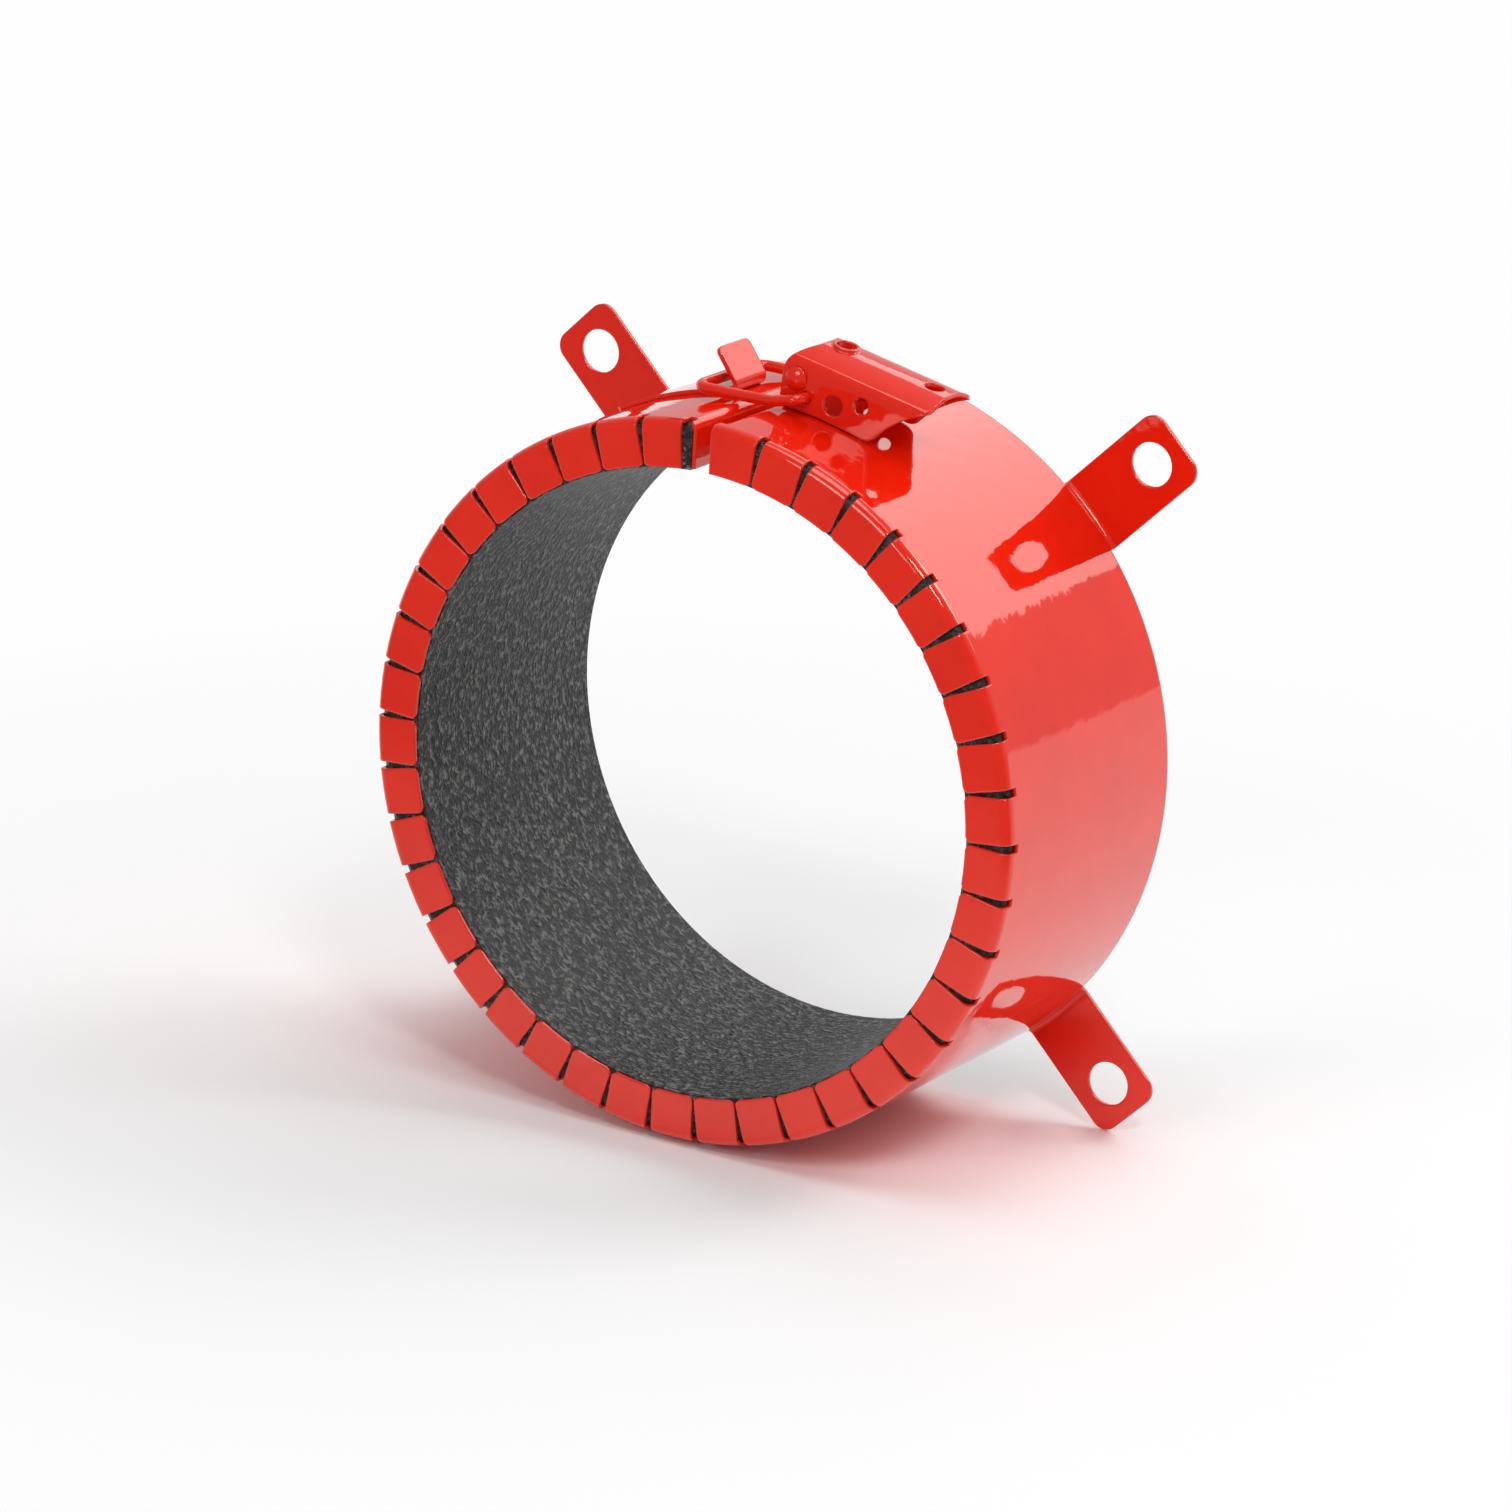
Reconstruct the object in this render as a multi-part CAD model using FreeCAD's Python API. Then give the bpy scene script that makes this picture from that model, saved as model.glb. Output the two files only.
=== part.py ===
import FreeCAD, Part
import math
import os
from FreeCAD import Vector as V

os.makedirs("parts", exist_ok=True)

# Pipe fire collar: a comb-edged sheet ring with a fire liner, wall lugs and a toggle latch.
# The pipe runs along Y, the wall is the plane Y = 0, the latch is on top. Millimetres.

# Ring
DEPTH = 57.0
SHEET_T = 0.7
BEND_R = 1.8
SPLIT_GAP = 3.4

# Comb of folded fingers
FINGER_COUNT = 41
FINGER_TIP_GAP = 0.3
FINGER_CORNER_R = 0.9
SLOT_ROOT = 2.9

# Liner
PIPE_BORE_R = 56.2
LINER_T = 8.1
LINER_SPLIT = 0.5
LINER_GAP = 0.05
FINGER_SETBACK = 0.2

# Lugs
LUG_COUNT = 4
LUG_W = 14.4
LUG_REACH = 22.6
LUG_HOLE_R = 4.0
LUG_HOLE_TO_TIP = 6.9
LUG_CORNER_R = 3.0
LUG_BEND_R = 0.8

# Latch
LATCH_FROM_FRONT = 27.0

# Latch base
BASE_T = 0.7
BASE_LENGTH = 15.5
RIVET_HEIGHT = 5.95
RIVET_FROM_END = 4.5
RIVET_SHANK_R = 1.4
RIVET_HEAD_R = 2.1
RIVET_HEAD_H = 1.0
RIVET_HEAD_GAP = 0.1
EAR_R = 2.2
EAR_FOOT_BACK = 0.7
EAR_FOOT_FRONT = 4.0

# Bail
WIRE_R = 1.0
BAIL_PIVOT_U = 2.3
BAIL_PIVOT_W = -2.9
BAIL_CORNER_R = 2.6
BAIL_PIN_GAP = 0.06
BAIL_PIN_SHORT = 0.15
BAIL_SIDE_GAP = 0.3
BAIL_LOW_GAP = 0.45

# Hook
HOOK_W = 9.8
HOOK_T = 0.8
HOOK_BEND_R = 0.9
HOOK_LEAN = 36.0
HOOK_REACH = 6.5
HOOK_SLACK = 2.0
HOOK_LIFT = 0.6
CATCH_LENGTH = 24.0
HOOK_FROM_END = 6.9

# Lever
LEVER_T = 0.7
LEVER_W = 16.0
LEVER_LENGTH = 28.9
LEVER_TOP_W = 5.7
LEVER_SLOPE = 6.3
LEVER_EDGE_R = 1.8
LEVER_CROWN_R = 15.0
LEVER_TIP_R = 2.6
LEVER_FLOOR_GAP = 0.35
LEVER_SIDE_GAP = 0.15
BIG_HOLE_R = 1.9
BIG_HOLE_U = 7.9
BIG_HOLE_W = -2.9
SMALL_HOLE_R = 1.5
SMALL_HOLE_U = 13.3
SMALL_HOLE_W = -1.45
WEB_HOLE_R = 1.85
WEB_RIM_R = 2.4
WEB_RIM_H = 0.45
WEB_HOLE_U = 4.4
TIP_HOLE_FROM_TIP = 6.2
RUN_GAP = 0.06

# Values that follow
RING_R = PIPE_BORE_R + LINER_T + SHEET_T
Y_FRONT = -DEPTH
Y_MID = LATCH_FROM_FRONT - DEPTH
INNER_R = RING_R - SHEET_T
FINGER_END_R = PIPE_BORE_R + FINGER_SETBACK
Y_EDGE = -(SHEET_T + LUG_BEND_R)
FLANK_OUT = LEVER_W / 2.0
FLANK_IN = FLANK_OUT - LEVER_T
EAR_OUT = FLANK_IN - LEVER_SIDE_GAP
EAR_IN = EAR_OUT - BASE_T
HEAD_IN = FLANK_OUT + RIVET_HEAD_GAP
LEG_MID = HEAD_IN + RIVET_HEAD_H + BAIL_SIDE_GAP + WIRE_R
RIVET_R = RING_R + RIVET_HEIGHT
EDGE_X = SPLIT_GAP / 2.0
END_ANGLE = 90.0 - math.degrees(math.asin(EDGE_X / RING_R))
RIVET_ANGLE = END_ANGLE - math.degrees(RIVET_FROM_END / RING_R)
GAP_ANGLE = 2.0 * (90.0 - END_ANGLE)
CORNER_ANGLE = math.degrees(BEND_R / RING_R)
PITCH = (360.0 - GAP_ANGLE - CORNER_ANGLE) / FINGER_COUNT
FINGER_W = 2.0 * FINGER_END_R * math.sin(math.radians(PITCH / 2.0)) - FINGER_TIP_GAP


def at(r, angle, y=0.0):
    a = math.radians(angle)
    return V(r * math.cos(a), y, r * math.sin(a))


def arc(a, b, c):
    return Part.Arc(a, b, c).toShape()


def line(a, b):
    return Part.LineSegment(a, b).toShape()


def circle_arc(r, a0, a1, y=0.0):
    return arc(at(r, a0, y), at(r, (a0 + a1) / 2.0, y), at(r, a1, y))


def rounded_polygon(points, radii):
    # A closed outline whose corners are rounded by the radius given for each.
    n = len(points)
    starts = []
    edges = []
    for i in range(n):
        p = points[i]
        r = radii[i]
        d0 = (points[i - 1] - p).normalize()
        d1 = (points[(i + 1) % n] - p).normalize()
        if r <= 0:
            starts.append((p, p, None))
            continue
        half = d0.getAngle(d1) / 2.0
        back = r / math.tan(half)
        mid_dir = (d0 + d1).normalize()
        centre = p + mid_dir * (r / math.sin(half))
        starts.append((p + d0 * back, p + d1 * back, centre - mid_dir * r))
    for i in range(n):
        a, b, m = starts[i]
        if m is not None:
            edges.append(arc(a, m, b))
        nxt = starts[(i + 1) % n][0]
        if b.distanceToPoint(nxt) > 1e-6:
            edges.append(line(b, nxt))
    return Part.Face(Part.Wire(edges))


def rounded_path(points, radius):
    # An open path of straight runs joined by arcs.
    edges = []
    last = points[0]
    for i in range(1, len(points) - 1):
        p = points[i]
        d0 = (points[i - 1] - p).normalize()
        d1 = (points[i + 1] - p).normalize()
        half = d0.getAngle(d1) / 2.0
        back = radius[i] / math.tan(half)
        mid_dir = (d0 + d1).normalize()
        centre = p + mid_dir * (radius[i] / math.sin(half))
        a = p + d0 * back
        b = p + d1 * back
        edges.append(line(last, a))
        edges.append(arc(a, centre - mid_dir * radius[i], b))
        last = b
    edges.append(line(last, points[-1]))
    return Part.Wire(edges)


def y_prism(face, y0, y1):
    moved = face.copy()
    moved.translate(V(0, y0, 0))
    return moved.extrude(V(0, y1 - y0, 0))


def y_cylinder(centre, r, y0, y1):
    return Part.makeCylinder(r, y1 - y0, V(centre.x, y0, centre.z), V(0, 1, 0))


def spin(face, a0, a1):
    # Turns a profile drawn in the X-Y plane about the pipe axis, from angle a0 to a1.
    solid = face.revolve(V(0, 0, 0), V(0, -1, 0), a1 - a0)
    solid.rotate(V(0, 0, 0), V(0, -1, 0), a0)
    return solid


def rivet_frame(u, w, y=0.0):
    # u along the band away from the split, w outwards, both from the rivet's centre.
    a = math.radians(RIVET_ANGLE)
    x = RIVET_R * math.cos(a) + u * math.sin(a) + w * math.cos(a)
    z = RIVET_R * math.sin(a) - u * math.cos(a) + w * math.sin(a)
    return V(x, y, z)


def band_profile():
    # Section of the wall and its folded finger, in X (radius) and Y.
    y0 = Y_FRONT
    t = SHEET_T
    out = BEND_R
    inn = BEND_R - t
    cx = RING_R - out
    cy = y0 + out
    k = math.sqrt(0.5)
    e = [
        line(V(RING_R, Y_EDGE, 0), V(RING_R, cy, 0)),
        arc(V(RING_R, cy, 0), V(cx + out * k, cy - out * k, 0), V(cx, y0, 0)),
        line(V(cx, y0, 0), V(FINGER_END_R, y0, 0)),
        line(V(FINGER_END_R, y0, 0), V(FINGER_END_R, y0 + t, 0)),
        line(V(FINGER_END_R, y0 + t, 0), V(cx, y0 + t, 0)),
        arc(V(cx, y0 + t, 0), V(cx + inn * k, cy - inn * k, 0), V(RING_R - t, cy, 0)),
        line(V(RING_R - t, cy, 0), V(RING_R - t, Y_EDGE, 0)),
        line(V(RING_R - t, Y_EDGE, 0), V(RING_R, Y_EDGE, 0)),
    ]
    return Part.Face(Part.Wire(e))


def slot_cutter():
    # The open wedge between two fingers of constant width, about angle 0.
    h = math.radians(PITCH / 2.0)
    w = FINGER_W / 2.0
    rc = FINGER_CORNER_R

    def side(s, off, sign):
        x = s * math.cos(h) + off * math.sin(h)
        z = s * math.sin(h) - off * math.cos(h)
        return V(x, 0, sign * z)

    far = RING_R + 1.0
    end = FINGER_END_R
    k = rc * (1.0 - math.sqrt(0.5))
    e = [
        line(side(far, w, 1), side(end + rc, w, 1)),
        arc(side(end + rc, w, 1), side(end + k, w - k, 1), side(end, w - rc, 1)),
        line(side(end, w - rc, 1), side(end - 1.5, w - rc, 1)),
        line(side(end - 1.5, w - rc, 1), side(end - 1.5, w - rc, -1)),
        line(side(end - 1.5, w - rc, -1), side(end, w - rc, -1)),
        arc(side(end, w - rc, -1), side(end + k, w - k, -1), side(end + rc, w, -1)),
        line(side(end + rc, w, -1), side(far, w, -1)),
        line(side(far, w, -1), side(far, w, 1)),
    ]
    face = Part.Face(Part.Wire(e))
    return y_prism(face, Y_FRONT - 1.0, Y_FRONT + SLOT_ROOT)


def slot_angle(k):
    return 180.0 - END_ANGLE + CORNER_ANGLE + PITCH * k


def end_flap(sign, y0, y1):
    # Wall end folded inwards beside the split. sign -1 is the left end.
    rb = BEND_R
    t = SHEET_T
    xc = EDGE_X + rb
    zc = math.sqrt((RING_R - rb) ** 2 - xc ** 2)
    a_c = math.atan2(zc, xc)
    a_far = a_c - math.radians(2.0 + CORNER_ANGLE)
    bottom = FINGER_END_R

    def p(x, z):
        return V(sign * x, 0, z)

    def ring(r, a):
        return p(r * math.cos(a), r * math.sin(a))

    def bend(r):
        a_mid = (a_c + math.pi) / 2.0
        return p(xc + r * math.cos(a_mid), zc + r * math.sin(a_mid))

    a_m = (a_c + a_far) / 2.0
    e = [
        arc(ring(RING_R, a_far), ring(RING_R, a_m), ring(RING_R, a_c)),
        arc(ring(RING_R, a_c), bend(rb), p(EDGE_X, zc)),
        line(p(EDGE_X, zc), p(EDGE_X, bottom)),
        line(p(EDGE_X, bottom), p(EDGE_X + t, bottom)),
        line(p(EDGE_X + t, bottom), p(EDGE_X + t, zc)),
        arc(p(EDGE_X + t, zc), bend(rb - t), ring(RING_R - t, a_c)),
        arc(ring(RING_R - t, a_c), ring(RING_R - t, a_m), ring(RING_R - t, a_far)),
        line(ring(RING_R - t, a_far), ring(RING_R, a_far)),
    ]
    return y_prism(Part.Face(Part.Wire(e)), y0, y1)


def lug_profile():
    # Section of the wall turning outwards into a lug, in X (radius) and Y.
    t = SHEET_T
    ri = LUG_BEND_R
    ro = ri + t
    k = math.sqrt(0.5)
    cx = RING_R + ri
    cy = -(t + ri)
    far = RING_R + LUG_REACH + 5.0
    low = -(t + ri) - 2.0
    e = [
        line(V(RING_R, low, 0), V(RING_R, cy, 0)),
        arc(V(RING_R, cy, 0), V(cx - ri * k, cy + ri * k, 0), V(cx, cy + ri, 0)),
        line(V(cx, cy + ri, 0), V(far, -t, 0)),
        line(V(far, -t, 0), V(far, 0, 0)),
        line(V(far, 0, 0), V(cx, 0, 0)),
        arc(V(cx, 0, 0), V(cx - ro * k, cy + ro * k, 0), V(RING_R - t, cy, 0)),
        line(V(RING_R - t, cy, 0), V(RING_R - t, low, 0)),
        line(V(RING_R - t, low, 0), V(RING_R, low, 0)),
    ]
    return Part.Face(Part.Wire(e))


def lug(angle):
    body = spin(lug_profile(), -12.0, 12.0)
    tip = RING_R + LUG_REACH
    h = LUG_W / 2.0
    root = RING_R - 6.0
    outline = rounded_polygon(
        [V(root, 0, -h), V(tip, 0, -h), V(tip, 0, h), V(root, 0, h)],
        [0, LUG_CORNER_R, LUG_CORNER_R, 0],
    )
    keep = y_prism(outline, -DEPTH / 2.0, 1.0)
    body = body.common(keep)
    hole = y_cylinder(V(tip - LUG_HOLE_TO_TIP, 0, 0), LUG_HOLE_R, -5.0, 5.0)
    body = body.cut(hole)
    body.rotate(V(0, 0, 0), V(0, -1, 0), angle)
    return body


def lug_angles():
    step = 360.0 / LUG_COUNT
    return [90.0 + step / 2.0 + step * i for i in range(LUG_COUNT)]


def collar_shell():
    flap_start = CORNER_ANGLE + 1.0
    a0 = 180.0 - END_ANGLE + flap_start
    a1 = 360.0 + END_ANGLE - flap_start
    body = spin(band_profile(), a0, a1)
    # The last finger reaches the split with the sheet's plain edge.
    tail = spin(band_profile(), END_ANGLE - flap_start - 0.5, END_ANGLE + 3.0)
    keep = Part.makeBox(RING_R, SLOT_ROOT, RING_R * 2, V(EDGE_X, Y_FRONT - 0.0, 0))
    tail = tail.common(keep)
    shapes = [tail, end_flap(-1, Y_FRONT + BEND_R / 2.0, Y_EDGE), end_flap(1, Y_FRONT + SLOT_ROOT, Y_EDGE)]
    shapes += [lug(a) for a in lug_angles()]
    body = body.multiFuse(shapes)
    cutters = []
    base = slot_cutter()
    for k in range(FINGER_COUNT):
        c = base.copy()
        c.rotate(V(0, 0, 0), V(0, -1, 0), slot_angle(k))
        cutters.append(c)
    body = body.cut(cutters)
    return body


def liner_layer(r_in, r_out, chamfer):
    y0 = Y_FRONT + SHEET_T + LINER_GAP
    y1 = Y_EDGE
    c = chamfer
    pts = [V(r_in, y1, 0), V(r_in, y0, 0), V(r_out - c, y0, 0)]
    if c > 0:
        pts.append(V(r_out, y0 + c, 0))
    pts.append(V(r_out, y1, 0))
    pts.append(pts[0])
    ring = spin(Part.Face(Part.makePolygon(pts)), 91.0, 91.0 + 358.0)
    half = EDGE_X + SHEET_T + LINER_GAP
    gap = Part.makeBox(2 * half, DEPTH + 2, RING_R + 2, V(-half, -DEPTH - 1, 0))
    ring = ring.cut(gap)
    return ring


def liner_outer():
    r_out = INNER_R - LINER_GAP
    r_mid = PIPE_BORE_R + (r_out - PIPE_BORE_R) * LINER_SPLIT
    layer = liner_layer(r_mid + LINER_GAP, r_out, BEND_R - SHEET_T + 0.2)
    # The layer's outer corners clear the folded ends' inner radius.
    rb = BEND_R - SHEET_T
    x0 = EDGE_X + SHEET_T
    for s in (-1, 1):
        z0 = RING_R - SHEET_T - rb - 0.2
        pts = [V(0, 0, z0), V(s * (x0 + LINER_GAP), 0, z0), V(s * (x0 + rb + 0.2), 0, RING_R), V(0, 0, RING_R)]
        pts.append(pts[0])
        wedge = y_prism(Part.Face(Part.makePolygon(pts)), -DEPTH - 1.0, 1.0)
        layer = layer.cut(wedge)
    return layer


def liner_inner():
    r_out = INNER_R - LINER_GAP
    r_mid = PIPE_BORE_R + (r_out - PIPE_BORE_R) * LINER_SPLIT
    return liner_layer(PIPE_BORE_R, r_mid, 0.0)


def latch_base():
    # A saddle plate bent up into two ears.
    t = BASE_T
    rb = t + 0.5
    r0 = RING_R
    r_top = RIVET_R + EAR_R + 3.0
    k = math.sqrt(0.5)
    outer = EAR_OUT
    inner = EAR_IN
    e = [
        line(V(r0, -(outer - rb), 0), V(r0, outer - rb, 0)),
        arc(V(r0, outer - rb, 0), V(r0 + rb - rb * k, outer - rb + rb * k, 0), V(r0 + rb, outer, 0)),
        line(V(r0 + rb, outer, 0), V(r_top, outer, 0)),
        line(V(r_top, outer, 0), V(r_top, inner, 0)),
        line(V(r_top, inner, 0), V(r0 + rb, inner, 0)),
        arc(V(r0 + rb, inner, 0), V(r0 + rb - 0.5 * k, outer - rb + 0.5 * k, 0), V(r0 + t, outer - rb, 0)),
        line(V(r0 + t, outer - rb, 0), V(r0 + t, -(outer - rb), 0)),
        arc(V(r0 + t, -(outer - rb), 0), V(r0 + rb - 0.5 * k, -(outer - rb + 0.5 * k), 0), V(r0 + rb, -inner, 0)),
        line(V(r0 + rb, -inner, 0), V(r_top, -inner, 0)),
        line(V(r_top, -inner, 0), V(r_top, -outer, 0)),
        line(V(r_top, -outer, 0), V(r0 + rb, -outer, 0)),
        arc(V(r0 + rb, -outer, 0), V(r0 + rb - rb * k, -(outer - rb + rb * k), 0), V(r0, -(outer - rb), 0)),
    ]
    a_start = RIVET_ANGLE + math.degrees((EAR_R + 0.4) / RING_R)
    a_end = a_start - math.degrees(BASE_LENGTH / RING_R)
    body = spin(Part.Face(Part.Wire(e)), a_end, a_start)
    body.translate(V(0, Y_MID, 0))
    # Outline seen along the rivet: a low plate and a round-topped ear.
    foot = [
        circle_arc(RING_R - 2.0, a_end - 1.0, a_start + 1.0),
        line(at(RING_R - 2.0, a_start + 1.0), at(RING_R + t, a_start + 1.0)),
        circle_arc(RING_R + t, a_end - 1.0, a_start + 1.0),
        line(at(RING_R + t, a_end - 1.0), at(RING_R - 2.0, a_end - 1.0)),
    ]
    plate = y_prism(Part.Face(Part.Wire(foot)), -DEPTH, 0.0)
    c = rivet_frame(0, 0)
    low = -RIVET_HEIGHT - 1.0
    ear = Part.Wire([
        arc(rivet_frame(EAR_R, 0), rivet_frame(0, EAR_R), rivet_frame(-EAR_R, 0)),
        line(rivet_frame(-EAR_R, 0), rivet_frame(EAR_FOOT_BACK, low)),
        line(rivet_frame(EAR_FOOT_BACK, low), rivet_frame(EAR_FOOT_FRONT, low)),
        line(rivet_frame(EAR_FOOT_FRONT, low), rivet_frame(EAR_R, 0)),
    ])
    ears = y_prism(Part.Face(ear), -DEPTH, 0.0)
    body = body.common(plate.fuse(ears))
    body = body.cut(y_cylinder(c, RIVET_SHANK_R, -DEPTH, 0.0))
    return body


def lever_rivet(sign):
    # Domed rivet through one flank and one ear. sign -1 is the front.
    c = rivet_frame(0, 0)
    r = RIVET_HEAD_R
    h = RIVET_HEAD_H
    under = HEAD_IN
    rim = 0.25
    dome_r = (r * r + (h - rim) ** 2) / (2.0 * (h - rim))
    a = math.asin(r / dome_r) / 2.0
    mid = V(dome_r * math.sin(a), under + h - dome_r * (1 - math.cos(a)), 0)
    e = [
        line(V(0, EAR_IN, 0), V(RIVET_SHANK_R, EAR_IN, 0)),
        line(V(RIVET_SHANK_R, EAR_IN, 0), V(RIVET_SHANK_R, under, 0)),
        line(V(RIVET_SHANK_R, under, 0), V(r, under, 0)),
        line(V(r, under, 0), V(r, under + rim, 0)),
        arc(V(r, under + rim, 0), mid, V(0, under + h, 0)),
        line(V(0, under + h, 0), V(0, EAR_IN, 0)),
    ]
    body = Part.Face(Part.Wire(e)).revolve(V(0, 0, 0), V(0, 1, 0), 360)
    if sign < 0:
        body.rotate(V(0, 0, 0), V(1, 0, 0), 180)
    body.translate(V(c.x, Y_MID, c.z))
    return body


def lever_rivets():
    return Part.makeCompound([lever_rivet(-1), lever_rivet(1)])


def latch_lever():
    # A channel with a crowned web, cut to the outline seen along the rivet.
    t = LEVER_T
    ro = LEVER_EDGE_R
    ri = ro - t
    o = FLANK_OUT
    i = FLANK_IN
    drop = 22.0
    crown = LEVER_CROWN_R

    def s(y, z):
        return V(0, y, z)

    # Half profiles of the crowned web and its shoulder, outer and inner side
    def half(side, big, small):
        cy = side - small
        cz = math.sqrt((big - small) ** 2 - cy ** 2) - crown
        lean = math.atan2(cy, cz + crown)
        join = (big * math.sin(lean), big * math.cos(lean) - crown)
        turn = (lean + math.pi / 2.0) / 2.0
        mid = (cy + small * math.sin(turn), cz + small * math.cos(turn))
        return join, mid, (side, cz)

    jo, mo, fo = half(o, crown, ro)
    ji, mi, fi = half(i, crown - t, ri)
    e = [
        line(s(-o, -drop), s(-fo[0], fo[1])),
        arc(s(-fo[0], fo[1]), s(-mo[0], mo[1]), s(-jo[0], jo[1])),
        arc(s(-jo[0], jo[1]), s(0, 0), s(jo[0], jo[1])),
        arc(s(jo[0], jo[1]), s(mo[0], mo[1]), s(fo[0], fo[1])),
        line(s(fo[0], fo[1]), s(o, -drop)),
        line(s(o, -drop), s(i, -drop)),
        line(s(i, -drop), s(fi[0], fi[1])),
        arc(s(fi[0], fi[1]), s(mi[0], mi[1]), s(ji[0], ji[1])),
        arc(s(ji[0], ji[1]), s(0, -t), s(-ji[0], ji[1])),
        arc(s(-ji[0], ji[1]), s(-mi[0], mi[1]), s(-fi[0], fi[1])),
        line(s(-fi[0], fi[1]), s(-i, -drop)),
        line(s(-i, -drop), s(-o, -drop)),
    ]
    length = LEVER_LENGTH + 20.0
    body = Part.Face(Part.Wire(e)).extrude(V(length, 0, 0))
    body.translate(V(-10.0, 0, 0))
    slope = 90.0 - RIVET_ANGLE + LEVER_SLOPE
    body.rotate(V(0, 0, 0), V(0, 1, 0), slope)
    top = rivet_frame(0, LEVER_TOP_W)
    body.translate(V(top.x, Y_MID, top.z))

    # Outline
    drop_per = math.tan(math.radians(LEVER_SLOPE))
    tip_u = LEVER_LENGTH - 2.4
    heel_u = tip_u * 0.575
    floor_r = RING_R + LEVER_FLOOR_GAP
    tip_w = LEVER_TOP_W - drop_per * tip_u

    def on_floor(u):
        return math.sqrt(floor_r ** 2 - u ** 2) - RIVET_R

    start_u = 0.0
    mid_u = (start_u + heel_u) / 2.0
    corner = 1.2
    heel = rivet_frame(heel_u, on_floor(heel_u))
    rise = rivet_frame(tip_u, tip_w - t * 3.2)
    hollow = 0.9
    d = (rise - heel).normalize()
    before = rivet_frame(heel_u - corner, on_floor(heel_u - corner))
    after = heel + d * corner
    bulge = heel + (before + after - heel * 2) * 0.28
    side = V(-d.z, 0, d.x)
    sag = (after + rise) * 0.5 + side * hollow
    foot_w = on_floor(0.0)
    nose = 2.85
    e = [
        arc(rivet_frame(start_u, on_floor(start_u)), rivet_frame(mid_u, on_floor(mid_u)), before),
        arc(before, bulge, after),
        arc(after, sag, rise),
        line(rise, rivet_frame(tip_u, tip_w + 1.0)),
        line(rivet_frame(tip_u, tip_w + 1.0), rivet_frame(2.6, LEVER_TOP_W + 1.0)),
        line(rivet_frame(2.6, LEVER_TOP_W + 1.0), rivet_frame(1.6, LEVER_TOP_W - drop_per * 1.6)),
        arc(
            rivet_frame(1.6, LEVER_TOP_W - drop_per * 1.6),
            rivet_frame(-1.5, 3.9),
            rivet_frame(-nose, 0),
        ),
        line(rivet_frame(-nose, 0), rivet_frame(-nose, foot_w * 0.6)),
        arc(
            rivet_frame(-nose, foot_w * 0.6),
            rivet_frame(-nose * 0.72, foot_w * 0.88),
            rivet_frame(start_u, foot_w),
        ),
    ]
    outline = y_prism(Part.Face(Part.Wire(e)), -DEPTH, 0.0)
    body = body.common(outline)

    # Rounded corners of the tip, seen from above
    tip_x = rivet_frame(tip_u, 0).x
    y0 = Y_MID - FLANK_OUT - LEVER_SIDE_GAP
    y1 = Y_MID + FLANK_OUT + LEVER_SIDE_GAP
    back_x = tip_x - LEVER_LENGTH - 10.0
    corners = [V(back_x, y0, 0), V(tip_x, y0, 0), V(tip_x, y1, 0), V(back_x, y1, 0)]
    plan = rounded_polygon(corners, [0, LEVER_TIP_R, LEVER_TIP_R, 0])
    plan = plan.extrude(V(0, 0, RING_R * 2.0))
    body = body.common(plan)

    # Raised rim round the hole in the web's front end
    n = (rivet_frame(math.sin(math.radians(LEVER_SLOPE)), math.cos(math.radians(LEVER_SLOPE))) - rivet_frame(0, 0))

    def on_web(u):
        return rivet_frame(u, LEVER_TOP_W - drop_per * u, Y_MID)

    rim = Part.makeCylinder(WEB_RIM_R, t + WEB_RIM_H, on_web(WEB_HOLE_U) - n * t, n)
    body = body.fuse(rim)
    for centre in (on_web(WEB_HOLE_U), on_web(LEVER_LENGTH - TIP_HOLE_FROM_TIP)):
        body = body.cut(Part.makeCylinder(WEB_HOLE_R, 6.0, centre - n * 3.0, n))
    # Holes through both flanks
    for u, w, r in (
        (0, 0, RIVET_SHANK_R + RUN_GAP),
        (BAIL_PIVOT_U, BAIL_PIVOT_W, WIRE_R + BAIL_PIN_GAP),
        (BIG_HOLE_U, BIG_HOLE_W, BIG_HOLE_R),
        (SMALL_HOLE_U, SMALL_HOLE_W, SMALL_HOLE_R),
    ):
        body = body.cut(y_cylinder(rivet_frame(u, w), r, -DEPTH, 0.0))
    return body


def hook_frame():
    # Where the catch plate starts to bend up, and the directions there.
    angle = 180.0 - END_ANGLE + math.degrees(HOOK_FROM_END / RING_R)
    n0 = at(1.0, angle)
    return angle, n0


def turned(v, angle):
    # Turns a direction counter-clockwise as seen from the front.
    a = math.radians(angle)
    c = math.cos(a)
    s = math.sin(a)
    return V(v.x * c - v.z * s, 0, v.x * s + v.z * c)


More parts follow.
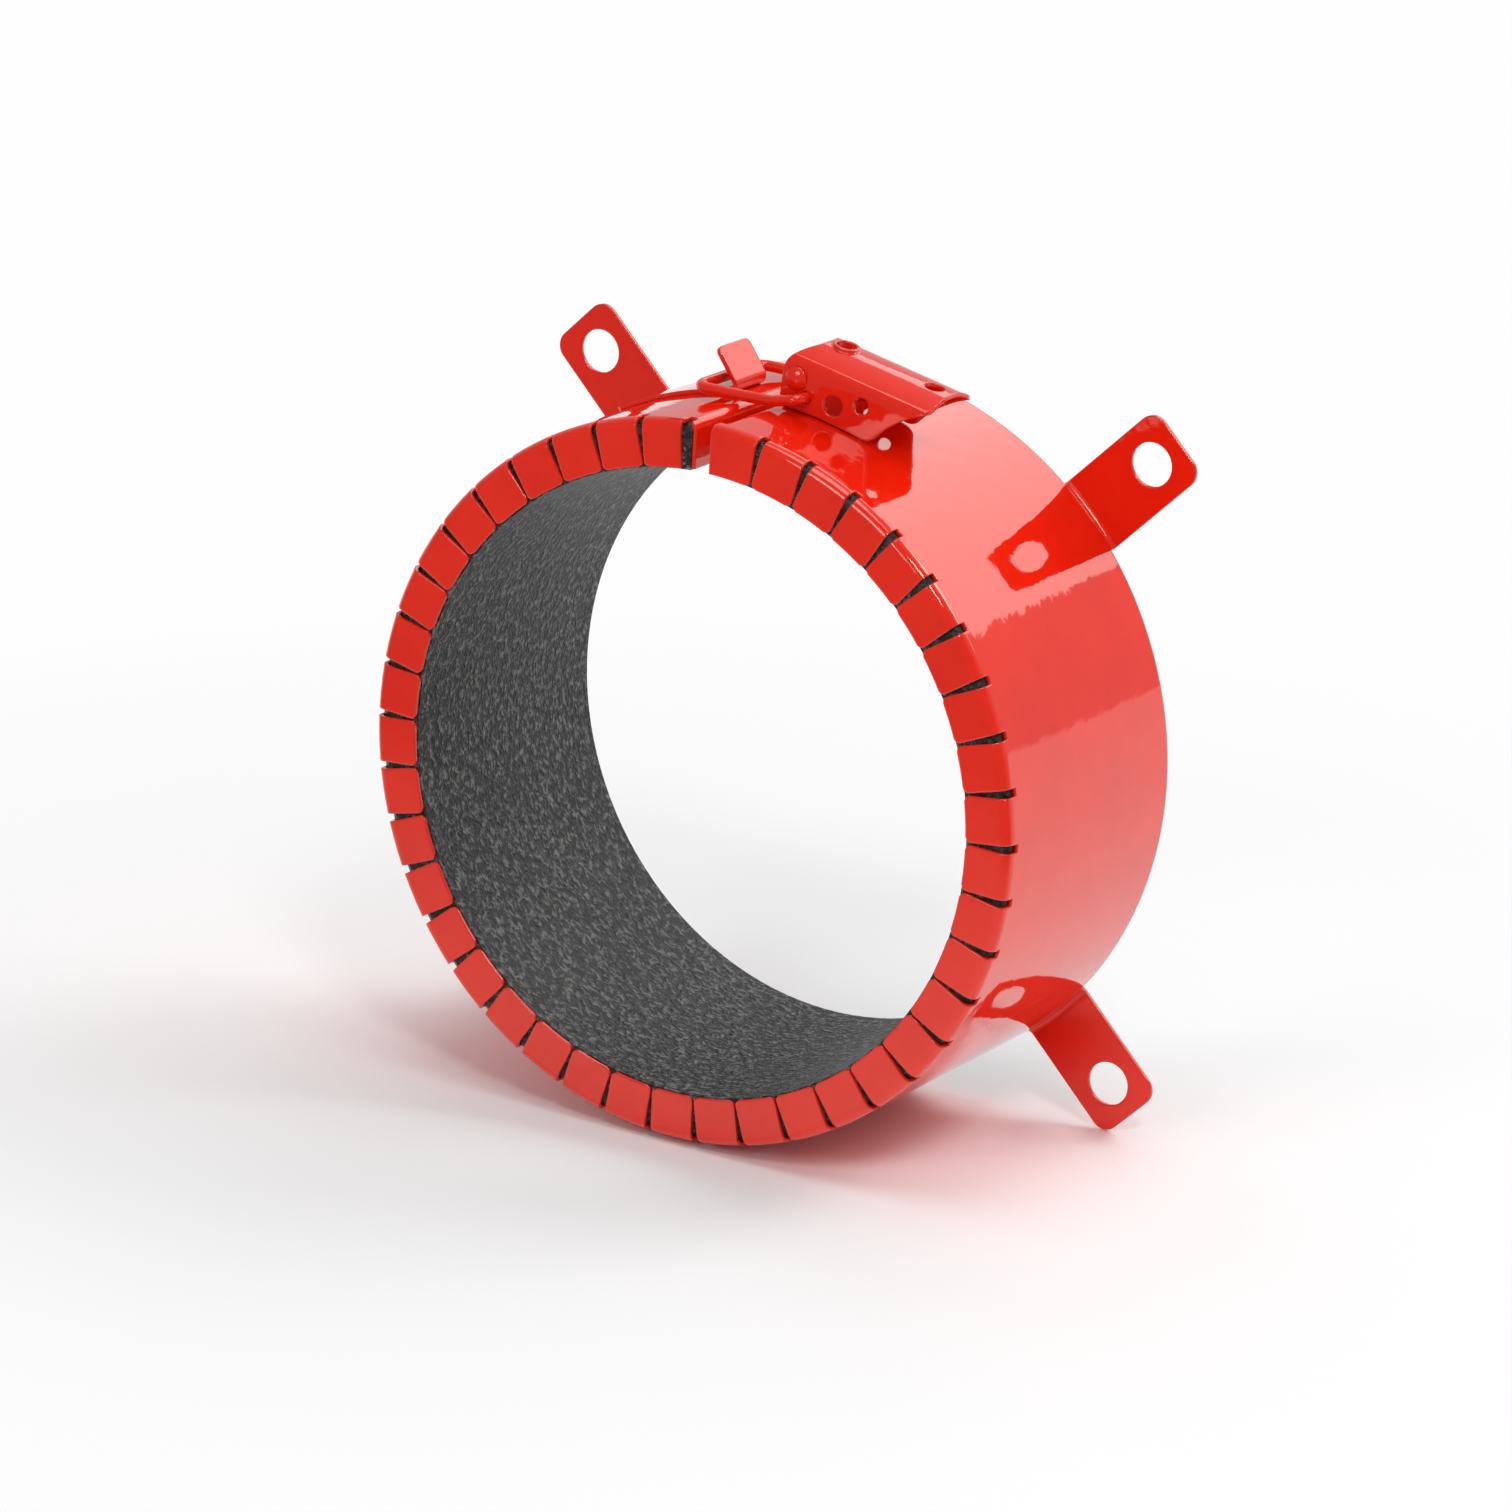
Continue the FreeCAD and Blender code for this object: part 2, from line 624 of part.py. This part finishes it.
def catch_plate():
    angle, n0 = hook_frame()
    t = HOOK_T
    ri = HOOK_BEND_R
    centre = n0 * (RING_R + t + ri)
    tangent = turned(n0, -90.0)
    lean = math.degrees(math.atan2(tangent.z, tangent.x))
    sweep = 90.0 + HOOK_LEAN - lean
    down = n0 * -1.0

    def on(r, part):
        return centre + turned(down, sweep * part) * r

    d = turned(tangent, sweep)
    far = angle + math.degrees(CATCH_LENGTH / RING_R)
    e = [
        arc(on(ri, 0), on(ri, 0.5), on(ri, 1)),
        line(on(ri, 1), on(ri, 1) + d * HOOK_REACH),
        line(on(ri, 1) + d * HOOK_REACH, on(ri + t, 1) + d * HOOK_REACH),
        line(on(ri + t, 1) + d * HOOK_REACH, on(ri + t, 1)),
        arc(on(ri + t, 1), on(ri + t, 0.5), on(ri + t, 0)),
        circle_arc(RING_R, angle, far),
        line(at(RING_R, far), at(RING_R + t, far)),
        circle_arc(RING_R + t, far, angle),
    ]
    half = HOOK_W / 2.0
    body = y_prism(Part.Face(Part.Wire(e)), Y_MID - half, Y_MID + half)
    # Rounded free corners of the hook and of the plate
    tips = []
    top = on(ri + t / 2.0, 1) + d * HOOK_REACH
    end = at(RING_R + t / 2.0, far)
    for edge in body.Edges:
        if abs(edge.Length - t) > 0.05:
            continue
        mid = edge.CenterOfMass
        flat = V(mid.x, 0, mid.z)
        if flat.distanceToPoint(top) < 0.2 or flat.distanceToPoint(end) < 0.2:
            tips.append(edge)
    body = body.makeFillet(1.3, tips)
    return body


def bail_wire():
    angle, n0 = hook_frame()
    ri = HOOK_BEND_R
    # The cross bar lies in the hook's throat, clear of the tongue by the slack.
    back = WIRE_R + HOOK_SLACK
    bar_angle = angle + math.degrees(back / RING_R)
    bar = at(RING_R + HOOK_T + WIRE_R + HOOK_LIFT, bar_angle)
    low = at(RING_R + WIRE_R + BAIL_LOW_GAP, END_ANGLE + GAP_ANGLE / 2.0 + 4.0)
    under = at(RING_R + WIRE_R + BAIL_LOW_GAP, RIVET_ANGLE + 2.6)
    pin = rivet_frame(BAIL_PIVOT_U, BAIL_PIVOT_W)
    inner = FLANK_IN + BAIL_PIN_SHORT
    pts = []
    for s in (-1, 1):
        side = [
            V(pin.x, Y_MID + s * inner, pin.z),
            V(pin.x, Y_MID + s * LEG_MID, pin.z),
            V(under.x, Y_MID + s * LEG_MID, under.z),
            V(low.x, Y_MID + s * LEG_MID, low.z),
            V(bar.x, Y_MID + s * LEG_MID, bar.z),
        ]
        pts += side if s < 0 else side[::-1]
    radii = [0, 1.2, 3.0, 6.0, BAIL_CORNER_R, BAIL_CORNER_R, 6.0, 3.0, 1.2, 0]
    path = rounded_path(pts, radii)
    ring = Part.Wire(Part.makeCircle(WIRE_R, pts[0], V(0, 1, 0)))
    return path.makePipeShell([ring], True, True)


def save(name, shape):
    shape.exportStep("parts/" + name + ".step")


if __name__ in ("__main__", "part"):
    save("collar_shell", collar_shell())
    save("liner_outer_layer", liner_outer())
    save("liner_inner_layer", liner_inner())
    save("latch_base", latch_base())
    save("lever_rivets", lever_rivets())
    save("latch_lever", latch_lever())
    save("catch_plate", catch_plate())
    save("bail_wire", bail_wire())
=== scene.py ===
import math

import bpy
from mathutils import Matrix, Vector


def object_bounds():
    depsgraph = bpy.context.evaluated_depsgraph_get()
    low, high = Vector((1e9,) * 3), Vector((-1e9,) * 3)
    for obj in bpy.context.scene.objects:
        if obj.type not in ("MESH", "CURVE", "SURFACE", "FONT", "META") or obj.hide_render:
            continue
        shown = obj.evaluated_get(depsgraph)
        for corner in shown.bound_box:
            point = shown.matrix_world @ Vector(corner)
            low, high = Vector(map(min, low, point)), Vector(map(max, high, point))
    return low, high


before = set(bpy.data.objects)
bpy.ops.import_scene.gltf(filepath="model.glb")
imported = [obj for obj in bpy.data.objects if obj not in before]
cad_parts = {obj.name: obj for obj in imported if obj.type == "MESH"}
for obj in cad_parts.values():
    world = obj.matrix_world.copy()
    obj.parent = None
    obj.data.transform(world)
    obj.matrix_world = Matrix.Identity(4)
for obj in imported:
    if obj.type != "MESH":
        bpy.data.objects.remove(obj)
cad_box = [list(map(float, c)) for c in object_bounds()]

scene = bpy.context.scene
scene.view_settings.view_transform = "Standard"

WHITE = (1.0, 1.0, 1.0, 1.0)


# Node helpers

def set_inputs(node, values):
    for name, value in values.items():
        node.inputs[name].default_value = value


class Nodes:
    """The node tree of one material, or of the world."""

    def __init__(self, owner, output):
        owner.use_nodes = True
        self.tree = owner.node_tree
        self.tree.nodes.clear()
        self.out = self.add(output)

    def add(self, kind, **values):
        node = self.tree.nodes.new(kind)
        for key, value in values.items():
            setattr(node, key, value)
        return node

    def link(self, source, socket):
        self.tree.links.new(source, socket)

    def noise(self, coords, per_metre, detail, rough):
        node = self.add("ShaderNodeTexNoise")
        set_inputs(node, {"Scale": per_metre, "Detail": detail, "Roughness": rough})
        self.link(coords, node.inputs["Vector"])
        return node.outputs["Fac"]

    def remap(self, value, start, end, low=0.0, high=1.0):
        node = self.add("ShaderNodeMapRange")
        set_inputs(node, {"From Min": start, "From Max": end, "To Min": low, "To Max": high})
        self.link(value, node.inputs["Value"])
        return node.outputs["Result"]

    def math(self, op, a, b):
        node = self.add("ShaderNodeMath", operation=op)
        for socket, value in zip(node.inputs, (a, b)):
            if isinstance(value, (int, float)):
                socket.default_value = value
            else:
                self.link(value, socket)
        return node.outputs[0]

    def ramp(self, value, stops):
        node = self.add("ShaderNodeValToRGB")
        elements = node.color_ramp.elements
        while len(elements) < len(stops):
            elements.new(0.5)
        for element, (position, colour) in zip(elements, stops):
            element.position = position
            element.color = (*colour, 1.0)
        self.link(value, node.inputs["Fac"])
        return node.outputs["Color"]

    def bump(self, height, distance, strength, normal=None):
        node = self.add("ShaderNodeBump")
        set_inputs(node, {"Distance": distance, "Strength": strength})
        self.link(height, node.inputs["Height"])
        if normal is not None:
            self.link(normal, node.inputs["Normal"])
        return node.outputs["Normal"]

    def stretched(self, vector, shift, turn, stretch):
        node = self.add("ShaderNodeMapping", vector_type="TEXTURE")
        set_inputs(node, {
            "Location": (shift, shift, shift),
            "Rotation": (0.0, 0.0, turn),
            "Scale": stretch,
        })
        self.link(vector, node.inputs["Vector"])
        return node.outputs["Vector"]

    def mix(self, share, first, second):
        node = self.add("ShaderNodeMixShader")
        self.link(share, node.inputs["Fac"])
        self.link(first.outputs[0], node.inputs[1])
        self.link(second.outputs[0], node.inputs[2])
        return node.outputs[0]


def new_material(name):
    material = bpy.data.materials.new(name)
    nodes = Nodes(material, "ShaderNodeOutputMaterial")
    coords = nodes.add("ShaderNodeTexCoord").outputs["Object"]
    return material, nodes, coords


# Materials

GLOSS = {
    "IOR": 1.6,
    "Specular Tint": (1.0, 0.91, 0.76, 1.0),
    "Coat Weight": 0.4,
    "Coat IOR": 1.5,
    "Coat Roughness": 0.03,
}
RED_DEEP = (0.80, 0.012, 0.0022)
RED_THIN = (0.88, 0.017, 0.0030)
PAINT_ROUGHNESS = (0.03, 0.06)
PAINT_EDGE_RADIUS = 0.0005
PAINT_RIPPLE = 0.0004


def red_paint():
    material, m, coords = new_material("red_gloss_paint")
    bsdf = m.add("ShaderNodeBsdfPrincipled")
    set_inputs(bsdf, GLOSS)
    # The film pools a little thinner and lighter in places.
    pool = m.noise(coords, per_metre=55.0, detail=3.0, rough=0.55)
    m.link(m.ramp(pool, [(0.3, RED_DEEP), (0.7, RED_THIN)]), bsdf.inputs["Base Color"])
    haze = m.noise(coords, per_metre=900.0, detail=2.0, rough=0.5)
    m.link(m.remap(haze, 0.3, 0.7, *PAINT_ROUGHNESS), bsdf.inputs["Roughness"])
    # The paint rounds the sheet's edges and lies in faint ripples.
    edge = m.add("ShaderNodeBevel", samples=6)
    set_inputs(edge, {"Radius": PAINT_EDGE_RADIUS})
    peel = m.noise(coords, per_metre=240.0, detail=2.0, rough=0.4)
    ripple = m.bump(peel, PAINT_RIPPLE, strength=0.10, normal=edge.outputs["Normal"])
    m.link(ripple, bsdf.inputs["Normal"])
    m.link(ripple, bsdf.inputs["Coat Normal"])
    m.link(bsdf.outputs[0], m.out.inputs["Surface"])
    return material


LINER_SURFACE = {"Roughness": 0.44, "IOR": 1.5}
FLAKE_STRETCH = (1.8, 1.35, 1.0)  # along the strip, across it and through it
FLAKE_LAYERS = ((0.5, 0.0), (-0.5, 3.1), (0.0, 7.7))  # turn in the strip's plane, shift
LINER_RELIEF = 0.0012
FIBRE_SHARE = 0.32
BLOTCH = 0.04

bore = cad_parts["liner_inner_layer"].data
bore_radius = min(math.hypot(v.co.x, v.co.z) for v in bore.vertices)


def laid_flat(m, coords):
    """Where a point lies on the strip laid flat: along it, across it and through it.

    The pipe's axis is Y. The angle jumps at +Z, where the split cuts the strip.
    """
    place = m.add("ShaderNodeSeparateXYZ")
    m.link(coords, place.inputs[0])
    x, y, z = place.outputs
    angle = m.math("ARCTAN2", x, m.math("MULTIPLY", z, -1.0))
    square = m.math("ADD", m.math("MULTIPLY", x, x), m.math("MULTIPLY", z, z))
    flat = m.add("ShaderNodeCombineXYZ")
    m.link(m.math("MULTIPLY", angle, bore_radius), flat.inputs[0])
    m.link(y, flat.inputs[1])
    m.link(m.math("POWER", square, 0.5), flat.inputs[2])
    return flat.outputs[0]


def liner(name, dark, mid, light):
    material, m, coords = new_material(name)
    bsdf = m.add("ShaderNodeBsdfPrincipled")
    set_inputs(bsdf, LINER_SURFACE)
    # Short flakes pressed into the strip, lying across one another.
    flat = laid_flat(m, coords)
    layers = [m.stretched(flat, shift, turn, FLAKE_STRETCH) for turn, shift in FLAKE_LAYERS]
    first, second, third = [
        m.noise(layer, per_metre=980.0, detail=3.0, rough=0.55) for layer in layers
    ]
    flakes = m.math("MAXIMUM", m.math("MAXIMUM", first, second), third)
    fibre = m.noise(layers[-1], per_metre=2400.0, detail=2.0, rough=0.6)
    grain = m.math("ADD", flakes, m.math("MULTIPLY", fibre, FIBRE_SHARE))
    broad = m.noise(coords, per_metre=60.0, detail=2.0, rough=0.5)
    blotch = m.remap(broad, 0.3, 0.7, -BLOTCH, BLOTCH)
    tone = m.math("ADD", m.remap(grain, 0.62, 0.86), blotch)
    m.link(m.ramp(tone, [(0.1, dark), (0.45, mid), (1.0, light)]), bsdf.inputs["Base Color"])
    m.link(m.bump(grain, LINER_RELIEF, strength=1.0), bsdf.inputs["Normal"])
    m.link(bsdf.outputs[0], m.out.inputs["Surface"])
    return material


paint = red_paint()
FINISH = {
    "liner_outer_layer": liner(
        "liner_outer_strip",
        dark=(0.006, 0.0046, 0.004),
        mid=(0.022, 0.0175, 0.0155),
        light=(0.075, 0.062, 0.055),
    ),
    "liner_inner_layer": liner(
        "liner_inner_strip",
        dark=(0.004, 0.0039, 0.0037),
        mid=(0.021, 0.0204, 0.0197),
        light=(0.2, 0.196, 0.19),
    ),
}
for name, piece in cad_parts.items():
    piece.data.materials.clear()
    piece.data.materials.append(FINISH.get(name, paint))


# Floor: a matt white disc that fades out, for the camera and for reflections, into the backdrop

FLOOR_RADIUS = 2.2
FLOOR_SIDES = 96
FLOOR_GAP = 0.0002
FLOOR_COLOUR = (0.95, 0.95, 0.95, 1.0)
FADE_START = 0.12
FADE_END = 0.30


def disc(name, radius, height, sides):
    steps = [math.tau * i / sides for i in range(sides)]
    rim = [(radius * math.cos(a), radius * math.sin(a), height) for a in steps]
    faces = [(0, 1 + i, 1 + (i + 1) % sides) for i in range(sides)]
    mesh = bpy.data.meshes.new(name)
    mesh.from_pydata([(0.0, 0.0, height)] + rim, [], faces)
    return mesh


def fading_white():
    material, m, coords = new_material("floor_white")
    away = m.add("ShaderNodeVectorMath", operation="LENGTH")
    m.link(coords, away.inputs[0])
    fade = m.remap(away.outputs["Value"], FADE_START, FADE_END)
    matt = m.add("ShaderNodeBsdfDiffuse")
    set_inputs(matt, {"Color": FLOOR_COLOUR})
    clear = m.add("ShaderNodeBsdfTransparent")
    ray = m.add("ShaderNodeLightPath").outputs
    seen = m.math("MAXIMUM", ray["Is Camera Ray"], ray["Is Glossy Ray"])
    m.link(m.mix(m.math("MULTIPLY", fade, seen), matt, clear), m.out.inputs["Surface"])
    return material


floor_height = cad_box[0][2] - FLOOR_GAP
floor_mesh = disc("floor", FLOOR_RADIUS, floor_height, FLOOR_SIDES)
floor = bpy.data.objects.new("floor", floor_mesh)
scene.collection.objects.link(floor)
floor.data.materials.append(fading_white())


# World: soft light from all round, and a white backdrop behind the object and below the horizon,
# which the camera, reflections and transmission see

BACKDROP_COLOUR = (0.99, 0.99, 0.99, 1.0)
HORIZON = (0.004, -0.004)
BEHIND = (-0.2, 0.3)
SOFT_FRONT = 0.25
SOFT_REAR = 0.5

scene.world = bpy.data.worlds.new("studio")
w = Nodes(scene.world, "ShaderNodeOutputWorld")
way = w.add("ShaderNodeSeparateXYZ")
w.link(w.add("ShaderNodeTexCoord").outputs["Generated"], way.inputs[0])
below = w.remap(way.outputs["Z"], *HORIZON)
behind = w.remap(way.outputs["Y"], *BEHIND)
path = w.add("ShaderNodeLightPath").outputs
direct = w.math("MAXIMUM", path["Is Camera Ray"], path["Is Transmission Ray"])
mirrored = w.math("MULTIPLY", w.math("MULTIPLY", below, behind), path["Is Glossy Ray"])
soft = w.add("ShaderNodeBackground")
set_inputs(soft, {"Color": WHITE})
w.link(w.remap(behind, 0.0, 1.0, SOFT_FRONT, SOFT_REAR), soft.inputs["Strength"])
white = w.add("ShaderNodeBackground")
set_inputs(white, {"Color": BACKDROP_COLOUR, "Strength": 1.0})
w.link(w.mix(w.math("MAXIMUM", direct, mirrored), soft, white), w.out.inputs["Surface"])


# Lamps, all aimed at the frame's origin: name, place, size and radiance

LAMPS = (
    ("key_right_rear", (0.75, 0.70, 1.0), (0.6, 0.5), 5.4),
    ("rear_panel", (0.2, 1.3, 0.93), (1.6, 0.73), 1.55),
    ("top", (0.1, -0.2, 1.3), (0.7, 0.7), 3.0),
    ("front_fill", (-0.2, -1.7, 0.8), (0.7, 0.5), 5.0),
    ("front_right", (0.62, -0.72, 0.88), (0.22, 0.22), 18.5),
)

for name, place, (width, height), radiance in LAMPS:
    data = bpy.data.lights.new(name, "AREA")
    data.shape = "RECTANGLE"
    data.size, data.size_y = width, height
    data.energy = radiance * math.pi * width * height
    lamp = bpy.data.objects.new(name, data)
    lamp.location = place
    lamp.rotation_euler = (-Vector(place)).to_track_quat("-Z", "Y").to_euler()
    scene.collection.objects.link(lamp)


# Camera, fitted to the finger tips, slots and lugs in the photograph

CAMERA_TARGET = (-0.013389, -0.011003, -0.008217)
CAMERA_DISTANCE = 1.336482
CAMERA_AZIMUTH = math.radians(30.933)  # from straight in front, to the right
CAMERA_ELEVATION = math.radians(17.2797)
CAMERA_ROLL = math.radians(3.1446)
SENSOR_MM = 36.0
LENS_MM = 177.25
CLIP_END = 20.0

data = bpy.data.cameras.new("camera")
data.sensor_width = SENSOR_MM
data.lens = LENS_MM
data.clip_end = CLIP_END
camera = bpy.data.objects.new("camera", data)
scene.collection.objects.link(camera)
turn = (
    Matrix.Rotation(CAMERA_AZIMUTH, 4, "Z")
    @ Matrix.Rotation(math.pi / 2 - CAMERA_ELEVATION, 4, "X")
    @ Matrix.Rotation(CAMERA_ROLL, 4, "Z")
)
back_off = Matrix.Translation((0.0, 0.0, CAMERA_DISTANCE))
camera.matrix_world = Matrix.Translation(CAMERA_TARGET) @ turn @ back_off
scene.camera = camera
